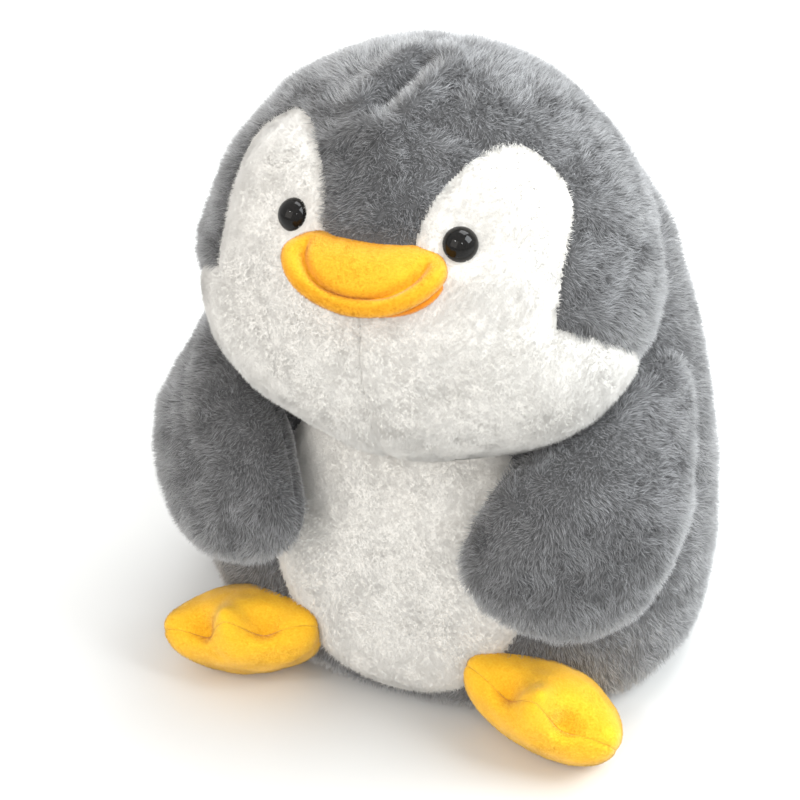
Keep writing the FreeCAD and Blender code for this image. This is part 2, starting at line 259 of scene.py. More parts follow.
def body_level(points, swell=0.0):
    """Below 1 inside the body's form (swollen by some metres), above 1 outside."""
    x, y, z = points.T
    height = np.clip(z, 0.0, BODY_TOP - 0.0001)
    wide = section_at(height, 1) + swell
    deep = section_at(height, 2) + swell
    level = np.sqrt((x / wide) ** 2 + ((y - section_at(height, 3)) / deep) ** 2)
    return np.where(z > BODY_TOP + swell, 2.0, level)


def is_left(points):
    return points[:, 0] > 0


def is_face(points):
    return face_depth(points) > 0


def is_forehead(points):
    return ~is_face(points) & (np.abs(points[:, 0]) < 0.051) & (points[:, 1] < -0.086)


def is_crown(points):
    return ~is_face(points) & ~is_forehead(points)


def is_belly(points):
    return (belly_depth(points) > 0) & (points[:, 1] < 0)


# ---------------------------------------------------------------- forms

EYES = {"left": head_point(23.2, 22.6), "right": head_point(-24.5, 22.4)}
TUCK_PLACE, TUCK_OUTWARD = head_point(0.0, 78.0)


def head_surface(count):
    """The head: an egg with full cheeks, drawn in at its seams, eyes and gathered crown."""
    ways, quads, atlas = sphere_of_quads(count)
    skin = Surface((ways * HEAD_AXES) @ turned("X", HEAD_TILT).T + HEAD_MIDDLE, quads, atlas, ways)
    x, y, z = skin.points.T
    front = smooth(0.02, -0.05, y - HEAD_MIDDLE[1])
    cheek = hill(np.linalg.norm((skin.points - [0.0, -0.085, 0.225]) * [0, 1, 1], axis=1), 0.052)
    cheek = cheek * smooth(0.030, 0.085, np.abs(x))
    nape = smooth(0.24, 0.20, z) * smooth(0, 0.05, y)
    skin.push(0.0085 * cheek - 0.0034 * smooth(0.24, 0.33, z) - 0.0012 * nape)

    # The seams: round the face, down the chin, over the back of the head, and across the crown.
    depth = face_depth(skin.points)
    x, y, z = skin.points.T
    seams = 0.0022 * hill(depth, 0.0045)
    seams = seams + 0.0016 * hill(x, 0.004) * (smooth(0.285, 0.270, z) * front)
    seams = seams + 0.0016 * hill(x, 0.004) * (smooth(-0.085, -0.070, y) * smooth(0.26, 0.28, z))
    across = hill(y + 0.086, 0.0045) * smooth(0.052, 0.045, np.abs(x)) * smooth(0.32, 0.34, z)
    seams = seams + 0.0014 * across
    puffed = 0.0022 * smooth(0.0, 0.018, depth) * smooth(0.285, 0.300, z)

    # The eyes are pulled in, and so is the short fold that the crown's stitch gathers.
    sockets = np.zeros(len(x))
    for seat, _ in EYES.values():
        away = np.linalg.norm(skin.points - seat, axis=1)
        sockets += 0.0046 * hill(away, 0.0135)
    share = np.clip((y + 0.078) / 0.024, 0.0, 1.0)
    fold = np.hypot(x + 0.009 - 0.009 * share, y + 0.078 - 0.024 * share)
    sockets += smooth(0.32, 0.34, z) * (0.0085 * hill(fold, 0.0048) - 0.0036 * hill(fold - 0.0125, 0.0065))
    lumps = 0.0011 * value_noise(skin.points, 0.045, 11) + 0.0005 * value_noise(skin.points, 0.018, 12)
    skin.push(puffed - seams - sockets + lumps)
    return skin


def body_surface(count):
    """The body: oval sections spread evenly over the sphere, with a flat base and full thighs."""
    ways, quads, atlas = sphere_of_quads(count)
    steps = np.linalg.norm(np.diff(BODY_SECTIONS[:, :2], axis=0), axis=1)
    along = np.concatenate([[0.0], np.cumsum(steps)])
    polar = np.arccos(np.clip(-ways[:, 2], -1.0, 1.0)) / np.pi
    position = np.interp(polar * along[-1], along, np.arange(len(BODY_SECTIONS)))
    rows = smooth_table(BODY_SECTIONS, position)
    flat = unit(np.stack([ways[:, 0], ways[:, 1], np.zeros(len(ways))], 1) + 1e-12)
    points = np.stack([flat[:, 0] * rows[:, 1], flat[:, 1] * rows[:, 2] + rows[:, 3], rows[:, 0]], 1)
    points[:, 2] = np.maximum(points[:, 2], 0.0)
    skin = Surface(points, quads, atlas, ways)
    x, y, z = skin.points.T
    upright = smooth(0.004, 0.016, z)
    seams = 0.0022 * hill(belly_depth(skin.points), 0.0045)
    seams = seams + 0.0011 * hill(x, 0.0035) * smooth(0.0, 0.02, y)
    for side in (1, -1):
        thigh = np.linalg.norm((skin.points - [side * 0.108, -0.078, 0.045]) * [1.0, 1.0, 0.8], axis=1)
        seams = seams - 0.0045 * hill(thigh, 0.042)
    lumps = 0.0014 * value_noise(skin.points, 0.060, 21) + 0.0006 * value_noise(skin.points, 0.022, 22)
    skin.push(upright * (lumps - seams))
    press_out_of_head(skin)
    return skin


def press_out_of_head(skin):
    """Where the body would run into the head, drop it to a dish just under the head instead."""
    local = to_head(skin.points)
    down = np.array([0.0, 0.0, 1.0]) @ turned("X", HEAD_TILT) / HEAD_AXES
    room = 1.0 + 0.0015 / HEAD_AXES.mean()
    a, b, c = down @ down, local @ down, (local ** 2).sum(1) - room ** 2
    drop = (-b - np.sqrt(np.maximum(b ** 2 - a * c, 0.0))) / a
    inside = (c < 0) & (skin.points[:, 2] > 0.12)
    skin.points[:, 2] += np.where(inside, drop, 0.0)
    skin.normals = skin.point_normals()


def mirrored(skin):
    """The same skin on the penguin's other side."""
    other = Surface(skin.points * [-1.0, 1.0, 1.0], skin.quads[:, ::-1], skin.atlas[:, ::-1], skin.points)
    other.ways = skin.ways
    return other


WING_ALONG = unit(np.array([21.0, 61.0, 104.0]))
WING_FRAME = frame_of(WING_ALONG, [0.57, -0.76, 0.30])
WING_MIDDLE = SHOULDER - WING_ALONG * 0.048


def body_behind(starts, direction):
    """How far along a direction each start is from the body's surface, by halving an interval."""
    near = np.full(len(starts), -0.09)
    far = np.full(len(starts), 0.06)
    for _ in range(18):
        middle = (near + far) / 2
        inside = body_level(starts + direction * middle[:, None]) < 1.0
        near = np.where(inside, middle, near)
        far = np.where(inside, far, middle)
    return (near + far) / 2


def wing_surface(count):
    """The left wing: a soft paddle that follows the body behind it and narrows to the shoulder."""
    ways, quads, atlas = sphere_of_quads(count)
    u, v, w = ways.T
    flesh = np.sign(v) * np.abs(v) ** 0.8
    top = smooth(0.0, 1.0, w)
    low = smooth(0.1, -0.9, w)
    across = u * 0.0490 * (1.0 - 0.34 * top + 0.20 * low) + 0.020 * (1.0 - top) + 0.006 * low - 0.004 * top
    along = np.where(w > 0, w * 0.090, w * 0.061)
    base = WING_MIDDLE + np.stack([across, np.zeros(len(u)), along], 1) @ WING_FRAME.T
    rest = body_behind(base, WING_FRAME[:, 1])
    thick = 0.0245 * (1.0 - 0.55 * top)
    lift = rest * (0.60 + 0.35 * top) + 0.0205 - 0.013 * top + flesh * thick
    skin = Surface(base + WING_FRAME[:, 1] * lift[:, None], quads, atlas, ways)
    rim = 0.0016 * hill(v + 0.12, 0.06)
    folds = hill(across * 1000 + along * 620 - 34, 5.5) + 0.7 * hill(across * 1000 + along * 620 - 20, 5.0)
    folds = 0.0016 * folds * smooth(0.1, 0.5, v) * smooth(-0.035, 0.03, along)
    lumps = 0.0013 * value_noise(skin.points, 0.038, 31) + 0.0005 * value_noise(skin.points, 0.015, 32)
    skin.push(lumps - rim - folds)

    # Whatever would lie inside the body is moved out to its surface.
    level = body_level(skin.points, 0.0012)
    shrink = np.where(level < 1.0, level, 1.0)
    centre_shift = section_at(np.clip(skin.points[:, 2], 0, 0.29), 3)
    fixed = skin.points.copy()
    fixed[:, 0] /= shrink
    fixed[:, 1] = (fixed[:, 1] - centre_shift) / shrink + centre_shift
    skin.points = fixed
    skin.normals = skin.point_normals()
    return skin


# In the foot's own frame, how far across and how far ahead each toe tip and each tack is.
FOOT_FRAME = turned("X", -44.0) @ turned("Y", 15.0)
TOES = [(0.043, 0.021), (0.0, 0.043), (-0.043, 0.021)]
TACKS = [(0.0185, 0.0320), (-0.0185, 0.0320)]


def foot_surface(count):
    """The left foot: two panels sewn round three toes, stuffed, and tacked between the toes."""
    ways, quads, atlas = sphere_of_quads(count)
    u, v, w = ways.T
    turn = np.arctan2(u * 0.042, -v * 0.036)
    ring = np.sqrt(np.clip(1.0 - w ** 2, 0.0, 1.0))
    reach = np.ones(len(u))
    for side, ahead in TOES:
        toe = math.atan2(side, ahead)
        reach = reach + 0.115 * hill(turn - toe, 0.22) * ring ** 2
    x = u * 0.0435 * reach
    y = v * 0.0340 * reach
    z = np.sign(w) * np.abs(w) ** 0.9 * np.where(w > 0, 0.0270, 0.0230)
    local = np.stack([x, y, z], 1)
    shift = np.zeros_like(local)
    for side, ahead in TACKS:
        away = np.linalg.norm(local - [side, -ahead, 0.003], axis=1)
        shift += np.outer(0.0100 * hill(away, 0.0080), [-0.2 * np.sign(side), 0.9, -0.35])
    knob = np.linalg.norm(local - [0.0, -0.0365, 0.004], axis=1)
    shift += np.outer(0.0080 * hill(knob, 0.0085), [0.0, -0.72, 0.60])
    for side in (1.0, -1.0):
        toe = np.linalg.norm(local - [side * 0.0375, -0.0200, 0.002], axis=1)
        shift += np.outer(0.0045 * hill(toe, 0.0110), [side * 0.55, -0.70, 0.40])
    local += shift
    skin = Surface(local @ FOOT_FRAME.T + FOOT_PLACE, quads, atlas, ways)
    rim = 0.0005 * hill(w, 0.05)
    lumps = 0.0007 * value_noise(skin.points, 0.016, 41) + 0.0004 * value_noise(skin.points, 0.007, 42)
    skin.push(lumps - rim)

    # The sole settles onto the floor instead of passing through it.
    floor, ease = 0.0012, 0.004
    height = skin.points[:, 2]
    settled = floor + ease * np.exp((height - floor - ease) / ease)
    skin.points[:, 2] = np.where(height < floor + ease, settled, height)
    skin.normals = skin.point_normals()
    return skin


def beak_surface(count):
    """The upper beak: a pillow with turned-up corners, a smile-shaped crease and a rolled lip."""
    ways, quads, atlas = sphere_of_quads(count)
    u, v, w = ways.T
    x = u * 0.0365
    y = v * 0.0235 * (1.0 - 0.18 * smooth(0.2, 0.9, w))
    z = np.sign(w) * np.abs(w) ** 0.85 * 0.0105 + 0.0035 * u ** 2
    front = smooth(0.35, -0.25, v)
    crease = w - 0.24 - 0.66 * u ** 2
    dent = 0.0038 * hill(crease, 0.13) * front
    roll = 0.0026 * hill(crease + 0.56, 0.36) * front
    skin = Surface(np.stack([x, y, z], 1) @ turned("X", BEAK_TILT).T + BEAK_PLACE, quads, atlas, ways)
    lumps = 0.0005 * value_noise(skin.points, 0.014, 51)
    skin.push(roll - dent + lumps)
    return skin


def bill_surface(count):
    """The lower bill, smaller and tucked under the upper one."""
    ways, quads, atlas = sphere_of_quads(count)
    u, v, w = ways.T
    points = np.stack([u * 0.0300, v * 0.0190, w * 0.0070 + 0.0050 * u ** 2], 1)
    skin = Surface(points @ turned("X", BEAK_TILT).T + BILL_PLACE, quads, atlas, ways)
    skin.push(0.0005 * value_noise(skin.points, 0.014, 52))
    return skin


# ---------------------------------------------------------------- meshes

def add_item(name, mesh, material):
    """A new object in the scene for a mesh of one material."""
    mesh.materials.append(material)
    item = bpy.data.objects.new(name, mesh)
    bpy.context.scene.collection.objects.link(item)
    return item


def fill_mesh(name, points, loops, starts, uv, material):
    """A smooth-shaded item from its corner lists, with a UV layer named OFBake."""
    mesh = bpy.data.meshes.new(name)
    mesh.vertices.add(len(points))
    mesh.vertices.foreach_set("co", points.astype(np.float32).ravel())
    mesh.loops.add(len(loops))
    mesh.loops.foreach_set("vertex_index", loops.astype(np.int32))
    mesh.polygons.add(len(starts))
    mesh.polygons.foreach_set("loop_start", starts.astype(np.int32))
    mesh.update(calc_edges=True)
    layer = mesh.uv_layers.new(name="OFBake")
    layer.uv.foreach_set("vector", uv.astype(np.float32).ravel())
    mesh.polygons.foreach_set("use_smooth", np.ones(len(starts), bool))
    return add_item(name, mesh, material)


def rigid_item(name, points, faces, material, body, nodes):
    """A smooth-shaded hard piece that rides on one body."""
    mesh = bpy.data.meshes.new(name)
    mesh.from_pydata(points, [], faces)
    mesh.polygons.foreach_set("use_smooth", np.ones(len(faces), bool))
    item = add_item(name, mesh, material)
    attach(item, body)
    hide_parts(*nodes)


def panel(name, skin, mask, material):
    """The part of a skin where mask holds, as a cloth panel with a little thickness."""
    quads = skin.quads[mask]
    used, inverse = np.unique(quads.ravel(), return_inverse=True)
    uv = skin.atlas[mask].reshape(-1, 2)
    item = fill_mesh(name, skin.points[used], inverse.ravel(), np.arange(len(quads)) * 4, uv, material)
    item.data.normals_split_custom_set_from_vertices(skin.normals[used].tolist())
    solid = item.modifiers.new("cloth", "SOLIDIFY")
    solid.thickness = CLOTH_THICK
    solid.offset = -1.0
    return item


def pile(name, skin, mask, material, look, seed, comb, scale, shade, edge):
    """Fine tapered fibres, rooted all over the part of a skin where mask holds.

    look is (fibres to the square centimetre, length, width, lean, unevenness); scale multiplies the
    length at each point of the skin, shade is painted shade that darkens the fibres there (a painted
    highlight where it is negative), and edge is a test of where fibres may stand, for a clean line
    between two colours.  Each of the last three may be None.
    """
    cover, length, width, lean, uneven = look
    rng = np.random.default_rng(seed)
    quads = skin.quads[mask]
    p = skin.points[quads]
    area = np.linalg.norm(np.cross(p[:, 2] - p[:, 0], p[:, 3] - p[:, 1]), axis=1) / 2
    total = int(area.sum() * 1e4 * cover * (1.0))
    total = min(total, FIBRE_LIMIT)
    pick = rng.choice(len(quads), total, p=area / area.sum())
    a, b = rng.random((2, total, 1))
    weights = [(1 - a) * (1 - b), a * (1 - b), a * b, (1 - a) * b]
    root = sum(w * skin.points[quads[pick, k]] for k, w in enumerate(weights))
    if edge is not None:
        inside = edge(root)
        root, pick, total = root[inside], pick[inside], int(inside.sum())
        weights = [w[inside] for w in weights]

    def at_root(values):
        """Values of the skin's points, blended to where each fibre is rooted."""
        return sum(w[:, 0] * values[quads[pick, k]] for k, w in enumerate(weights))

    # The fibres lean with the comb and with soft swirls, and their lengths vary.
    normal = unit(sum(w * skin.normals[quads[pick, k]] for k, w in enumerate(weights)))
    long = np.ones(total) if scale is None else at_root(scale)
    grain = np.array(comb) + 0.9 * noise_vectors(root, 0.011, seed + 1)
    grain = grain + 0.6 * noise_vectors(root, 0.0045, seed + 5)
    grain = grain + rng.normal(0.0, 0.28, (total, 3))
    grain = grain - normal * (grain * normal).sum(1, keepdims=True)
    long = long * length * (0.78 + 0.36 * rng.random(total))
    long = long * (1.0 + 0.22 * value_noise(root, 0.016, seed + 9))
    first = unit(normal + lean * grain)
    second = unit(normal * 0.75 + lean * 1.9 * grain + rng.normal(0.0, 0.25, (total, 3)))
    root = root - normal * 0.0004
    tip = root + unit(first + second) * long[:, None]
    side = unit(np.cross(first, rng.normal(0.0, 1.0, (total, 3))))
    other = np.cross(first, side)
    thick = width * (0.8 + 0.4 * rng.random(total))[:, None] * 1.0 / 2
    third = 2.0944
    ring = [root + thick * (side * math.cos(k * third) + other * math.sin(k * third)) for k in range(3)]
    points = np.stack([*ring, tip], 1)

    # Every fibre has one tone, and its three faces lie in that tone's cell of the UV square.
    base = np.arange(total) * 4
    loops = (base[:, None] + np.array([0, 1, 3, 1, 2, 3, 2, 0, 3])).ravel()
    starts = np.arange(total * 3) * 3
    tone = 0.5 + 0.12 * value_noise(root, 0.013, seed + 13) + 0.10 * value_noise(root, 0.004, seed + 17)
    tone = 0.5 + uneven * (tone - 0.5 + rng.normal(0.0, 0.16, total))
    # Painted light: a given shade is taken off the tone, as painted shade where positive and a painted
    # highlight where negative.
    if shade is not None:
        tone = tone - at_root(shade)
    tone = np.clip(tone, 0.0, 1.0)
    cell = np.minimum((tone * 256).astype(int), 255)
    tone = (cell + 0.5) / 256
    corner_u = np.tile([0.2, 0.8, 0.5], 3)
    corner_v = np.tile([0.1, 0.1, 0.9], 3)
    uv_u = ((cell % 16)[:, None] + corner_u) / 16
    uv_v = ((cell // 16)[:, None] + corner_v) / 16
    uv = np.stack([uv_u, uv_v], -1).reshape(-1, 2)
    item = fill_mesh(name, points.reshape(-1, 3), loops, starts, uv, material)
    mesh = item.data
    ruffle = 0.20 * rng.normal(0.0, 1.0, (total, 3)) + 0.20 * (second - normal)
    soft = unit(normal + uneven * ruffle)
    mesh.normals_split_custom_set_from_vertices(np.repeat(soft, 4, axis=0).tolist())
    tones = mesh.attributes.new("tone", "FLOAT", "POINT")
    tones.data.foreach_set("value", np.repeat(tone, 4).astype(np.float32))
    along = mesh.attributes.new("along", "FLOAT", "POINT")
    along.data.foreach_set("value", np.tile([0.0, 0.0, 0.0, 1.0], total).astype(np.float32))
    return item


# ---------------------------------------------------------------- materials

def new_material(name, rough, sheen=0.0, specular=0.2):
    """A material with its node tree and its shader."""
    material = bpy.data.materials.new(name)
    material.use_nodes = True
    tree = material.node_tree
    shader = tree.nodes["Principled BSDF"]
    shader.inputs["Roughness"].default_value = rough
    shader.inputs["Specular IOR Level"].default_value = specular
    shader.inputs["Sheen Weight"].default_value = sheen
    shader.inputs["Sheen Roughness"].default_value = 0.5
    return material, tree, shader


def ramp(tree, stops, source):
    """A colour from a value, through stops of place and colour."""
    node = tree.nodes.new("ShaderNodeValToRGB")
    while len(node.color_ramp.elements) < len(stops):
        node.color_ramp.elements.new(0.5)
    for element, (place, colour) in zip(node.color_ramp.elements, stops):
        element.position = place
        element.color = (*colour, 1.0)
    tree.links.new(source, node.inputs["Fac"])
    return node.outputs["Color"]


def multiply(tree, a, b):
    node = tree.nodes.new("ShaderNodeMix")
    node.data_type = "RGBA"
    node.blend_type = "MULTIPLY"
    node.inputs["Factor"].default_value = 1.0
    tree.links.new(a, node.inputs["A"])
    tree.links.new(b, node.inputs["B"])
    return node.outputs["Result"]


def attribute(tree, name):
    node = tree.nodes.new("ShaderNodeAttribute")
    node.attribute_name = name
    return node.outputs["Fac"]


def fibre_material(name, root, middle, tip, dark, light, sheen):
    """Pile with painted shade: darker down at the root, where the fibres shade each other, and no two
    fibres quite the same.
    """
    material, tree, shader = new_material(name, 0.85, sheen)
    # Painted shade: each fibre darkens from its tip down to its root.
    body = ramp(tree, [(0.0, root), (0.45, middle), (1.0, tip)], attribute(tree, "along"))
    shade = ramp(tree, [(0.0, dark), (1.0, light)], attribute(tree, "tone"))
    tree.links.new(multiply(tree, body, shade), shader.inputs["Base Color"])
    return material


def noise_bump(tree, shader, size, strength, depth):
    """Fine bumps of some size on a shader; gives back the noise they come from."""
    noise = tree.nodes.new("ShaderNodeTexNoise")
    place = tree.nodes.new("ShaderNodeTexCoord")
    tree.links.new(place.outputs["Object"], noise.inputs["Vector"])
    noise.inputs["Scale"].default_value = 1.0 / size
    noise.inputs["Detail"].default_value = 3.0
    bump = tree.nodes.new("ShaderNodeBump")
    bump.inputs["Strength"].default_value = strength
    bump.inputs["Distance"].default_value = depth
    tree.links.new(noise.outputs["Fac"], bump.inputs["Height"])
    tree.links.new(bump.outputs["Normal"], shader.inputs["Normal"])
    return noise.outputs["Fac"]


def cloth_material(name, low, high, rough=0.9, sheen=0.25, size=0.0012):
    """The knitted backing that the pile grows from, or any matt cloth or thread."""
    material, tree, shader = new_material(name, rough, sheen)
    fine = noise_bump(tree, shader, size, 0.5, 0.0006)
    tree.links.new(ramp(tree, [(0.3, low), (0.7, high)], fine), shader.inputs["Base Color"])
    return material


def eye_material():
    """Black moulded plastic with a high polish."""
    material, tree, shader = new_material("eye_black", 0.04, 0.0, 0.22)
    fine = noise_bump(tree, shader, 0.0012, 0.06, 0.00012)
    tree.links.new(ramp(tree, [(0.3, (0.004, 0.004, 0.004)), (0.7, (0.009, 0.008, 0.007))], fine),
                   shader.inputs["Base Color"])
    return material


# Each pile runs from a dark root up to a lighter tip; the darker root is painted shade deep in the pile.
GREY_PILE = fibre_material("grey_pile", (0.060, 0.059, 0.059), (0.180, 0.181, 0.184), (0.46, 0.465, 0.475),
                           (0.62, 0.615, 0.61), (1.36, 1.36, 1.37), 0.60)
WHITE_PILE = fibre_material("white_pile", (0.82, 0.80, 0.755), (0.83, 0.81, 0.77), (0.84, 0.825, 0.79),
                            (0.96, 0.955, 0.95), (1.0, 1.0, 1.0), 0.10)
# The yellow's dark and light ends also give the feet their painted shade and painted highlight.
YELLOW_PILE = fibre_material("yellow_pile", (0.88, 0.48, 0.014), (0.92, 0.56, 0.025), (0.96, 0.66, 0.070),
                             (0.88, 0.52, 0.15), (1.02, 1.15, 1.5), 0.12)
# The beak's pile and backing are darker copies of the yellow: partly the beak's own deeper yellow, partly
# painted shade against the strong light on its top.
BEAK_PILE = fibre_material("beak_pile", (0.68, 0.27, 0.004), (0.71, 0.30, 0.006), (0.75, 0.34, 0.012),
                           (0.92, 0.74, 0.40), (1.01, 1.04, 1.1), 0.10)
ORANGE_PILE = fibre_material("orange_pile", (0.66, 0.20, 0.004), (0.74, 0.26, 0.006), (0.80, 0.33, 0.012),
                             (0.94, 0.90, 0.85), (1.02, 1.04, 1.1), 0.12)
# The backings are darker than their pile's tips, near the root colours: painted shade deep in the pile,
# where the backing shows between fibres.
GREY_BACKING = cloth_material("grey_backing", (0.085, 0.085, 0.087), (0.125, 0.125, 0.128))
WHITE_BACKING = cloth_material("white_backing", (0.73, 0.705, 0.66), (0.80, 0.78, 0.74))
YELLOW_BACKING = cloth_material("yellow_backing", (0.88, 0.44, 0.012), (0.93, 0.54, 0.030))
# Partly painted shade, as on the beak's pile.
BEAK_BACKING = cloth_material("beak_backing", (0.70, 0.31, 0.006), (0.75, 0.36, 0.012))
ORANGE_BACKING = cloth_material("orange_backing", (0.64, 0.19, 0.004), (0.74, 0.26, 0.008))
GREY_THREAD = cloth_material("grey_thread", (0.05, 0.05, 0.055), (0.10, 0.10, 0.11), 0.8, 0.1, 0.0005)
YELLOW_THREAD = cloth_material("yellow_thread", (0.55, 0.18, 0.005), (0.75, 0.30, 0.01), 0.8, 0.1, 0.0005)
WASHER_WHITE = cloth_material("washer_white", (0.78, 0.78, 0.77), (0.84, 0.84, 0.83), 0.4, 0.0, 0.002)
EYE_BLACK = eye_material()

# Fibres to the square centimetre, length, width, lean and unevenness.
LONG_PILE = (150.0, 0.0056, 0.00036, 0.60, 1.0)
WHITE_LOOK = (175.0, 0.0030, 0.00032, 0.58, 0.15)
VELVET = (260.0, 0.0012, 0.00028, 0.60, 0.35)
PLUSH = {"grey": (GREY_BACKING, GREY_PILE, LONG_PILE), "white": (WHITE_BACKING, WHITE_PILE, WHITE_LOOK)}


# ---------------------------------------------------------------- assembly

def sew(name, body, skin, mask, backing, fibres, nodes, look, seed, bare=None, scale=None,
        comb=(0.0, 0.0, -0.5), bend=None, shade=None, edge=None):
    """One sewn panel with its pile, moving with its body, or left unattached where it stands when bend is
    given.

    bare is where no fibres grow; when bend is given, the cloth and its pile are left unattached with their
    placing baked into their meshes, and bend's two places are not used.
    """
    cloth = panel(name, skin, mask, backing)
    furry = mask if edge is None else edge(skin.points)[skin.quads].any(axis=1)
    if bare is not None:
        furry = furry & ~bare
    hairs = pile(name + "_pile", skin, furry, fibres, look, seed, comb, scale, shade, edge)
    if bend:
        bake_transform(cloth)
        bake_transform(hairs)
    else:
        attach(cloth, body)
        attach(hairs, body)
    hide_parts(*nodes)


def most_corners(skin, test):
    """The quads of a skin where a test holds at more than half of the corners."""
    return test[skin.quads].mean(axis=1) > 0.5


def both_sides(left):
    """The word, skin and side of a left piece and of its mirror image."""
    return ("left", left, 1.0), ("right", mirrored(left), -1.0)


def make_head():
    skin = head_surface(100)
    middle = skin.face_middles()

    # The pile is short round the eyes and the beak, and there is none under the beak or in the neck.
    length = np.ones(len(skin.points))
    for seat, _ in EYES.values():
        length *= 1.0 - 0.75 * hill(np.linalg.norm(skin.points - seat, axis=1), 0.0105)
    local = (skin.points - BEAK_PLACE) @ turned("X", BEAK_TILT) / [0.0375, 0.0235, 0.0125]
    near_beak = np.linalg.norm(local, axis=1)
    length *= 1.0 - 0.6 * hill(np.maximum(near_beak - 1.0, 0.0), 0.10)
    in_neck = (body_level(skin.points, -0.006) < 1.0) & (skin.points[:, 2] < 0.286)
    bare = most_corners(skin, in_neck) | most_corners(skin, near_beak < 0.93)
    panels = [
        ("crown_left", lambda p: is_crown(p) & is_left(p), "grey", ["crown_panel_left", "head_stuffing"]),
        ("crown_right", lambda p: is_crown(p) & ~is_left(p), "grey", ["crown_panel_right"]),
        ("forehead", is_forehead, "grey", ["forehead_panel"]),
        ("face_left", lambda p: is_face(p) & is_left(p), "white", ["face_panel_left"]),
        ("face_right", lambda p: is_face(p) & ~is_left(p), "white", ["face_panel_right"]),
    ]
    for number, (name, region, colour, nodes) in enumerate(panels):
        backing, fibres, look = PLUSH[colour]
        sew(name, "head", skin, region(middle), backing, fibres, nodes, look, 101 + number,
            bare=bare, scale=length, edge=region)


def make_beak():
    upper = beak_surface(48)
    everywhere = np.ones(len(upper.quads), bool)
    sew("beak_upper_pillow", "head", upper, everywhere, BEAK_BACKING, BEAK_PILE,
        ["beak_upper", "beak_stuffing"], VELVET, 111, comb=(0.0, -0.3, -0.3))
    bill = bill_surface(32)
    everywhere = np.ones(len(bill.quads), bool)
    sew("beak_lower_bill", "head", bill, everywhere, ORANGE_BACKING, ORANGE_PILE,
        ["beak_lower"], VELVET, 112, comb=(0.0, -0.3, -0.3))


def eye_dome(name, centre, outward, nodes):
    """A polished half ball with a short skirt behind it."""
    count, rings = 64, 28
    turn = np.linspace(0.0, 2.0 * np.pi, count, endpoint=False)
    rise = np.linspace(np.pi / 2, -0.45, rings)
    rows = [np.stack([np.cos(turn) * math.cos(r), np.sin(turn) * math.cos(r),
                      np.full(count, math.sin(r))], 1) for r in rise[1:]]
    local = np.concatenate([[[0.0, 0.0, 1.0]], *rows, [[0.0, 0.0, math.sin(rise[-1])]]]) * EYE_RADIUS
    points = local @ frame_of(outward, [0.0, 0.0, 1.0]).T + centre
    circles = [1 + k * count + np.arange(count) for k in range(rings - 1)]
    faces = [(0, a, b) for a, b in zip(circles[0], np.roll(circles[0], -1))]
    for low, high in zip(circles, circles[1:]):
        faces += list(zip(low, high, np.roll(high, -1), np.roll(low, -1)))
    last = len(points) - 1
    faces += [(a, last, b) for a, b in zip(circles[-1], np.roll(circles[-1], -1))]
    faces = [tuple(int(i) for i in face) for face in faces]
    rigid_item(name, points.tolist(), faces, EYE_BLACK, "head", nodes)


def thread(name, strands, material, body, nodes):
    """Short straight threads with rounded ends; strands are pairs of end points."""
    points, faces = [], []
    count = 10
    turn = np.linspace(0.0, 2.0 * np.pi, count, endpoint=False)
    for start, end in strands:
        start, end = np.array(start), np.array(end)
        frame_xyz = frame_of(end - start, [0.3, 0.2, 0.93])
        length = np.linalg.norm(end - start) / THREAD_RADIUS
        profile = [(-0.7, 0.55), (0.0, 1.0), (length, 1.0), (length + 0.7, 0.55)]
        first = len(points)
        for reach, wide in profile:
            ring = np.stack([np.cos(turn) * wide, np.sin(turn) * wide, np.full(count, reach)], 1)
            points += (ring * THREAD_RADIUS @ frame_xyz.T + start).tolist()
        for k in range(len(profile) - 1):
            for j in range(count):
                a, b = first + k * count + j, first + k * count + (j + 1) % count
                faces.append((a, b, b + count, a + count))
        faces.append(tuple(first + j for j in reversed(range(count))))
        faces.append(tuple(first + (len(profile) - 1) * count + j for j in range(count)))
    rigid_item(name, points, faces, material, body, nodes)


def make_eyes():
    for word, (seat, outward) in EYES.items():
        eye_dome("eye_" + word + "_dome", seat - outward * 0.0058, outward, ["eye_" + word])


def make_body():
    skin = body_surface(110)
    middle = skin.face_middles()
    base = middle[:, 2] < 0.0035
    local = np.linalg.norm(to_head(skin.points), axis=1)
    under_head = (local < 1.022) & (skin.points[:, 2] > 0.12)
    bare = most_corners(skin, under_head) | base

    # The pile is pressed short under the wings and where the body rests on the floor.
    length = np.ones(len(skin.points))
    for side in (1.0, -1.0):
        wing_middle = WING_MIDDLE * [side, 1.0, 1.0]
        away = (skin.points - wing_middle) @ (WING_FRAME * [[side], [1.0], [1.0]])
        under_wing = np.hypot(away[:, 0] / 0.050, away[:, 2] / 0.070)
        length *= 1.0 - 0.62 * smooth(1.05, 0.75, under_wing) * smooth(0.05, 0.03, np.abs(away[:, 1]))
    length *= 1.0 - 0.5 * smooth(0.012, 0.003, skin.points[:, 2])
    panels = [
        ("back_left", lambda p: ~is_belly(p) & is_left(p), "grey", ["back_panel_left", "body_stuffing"]),
        ("back_right", lambda p: ~is_belly(p) & ~is_left(p), "grey", ["back_panel_right"]),
        ("belly", is_belly, "white", ["belly_panel"]),
    ]
    for number, (name, region, colour, nodes) in enumerate(panels):
        backing, fibres, look = PLUSH[colour]
        sew(name, "body", skin, region(middle) & ~base, backing, fibres, nodes, look,
            121 + number, bare=bare, scale=length, edge=region)
    cloth = panel("base_disc", skin, base, GREY_BACKING)
    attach(cloth, "body")
    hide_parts("base_panel")


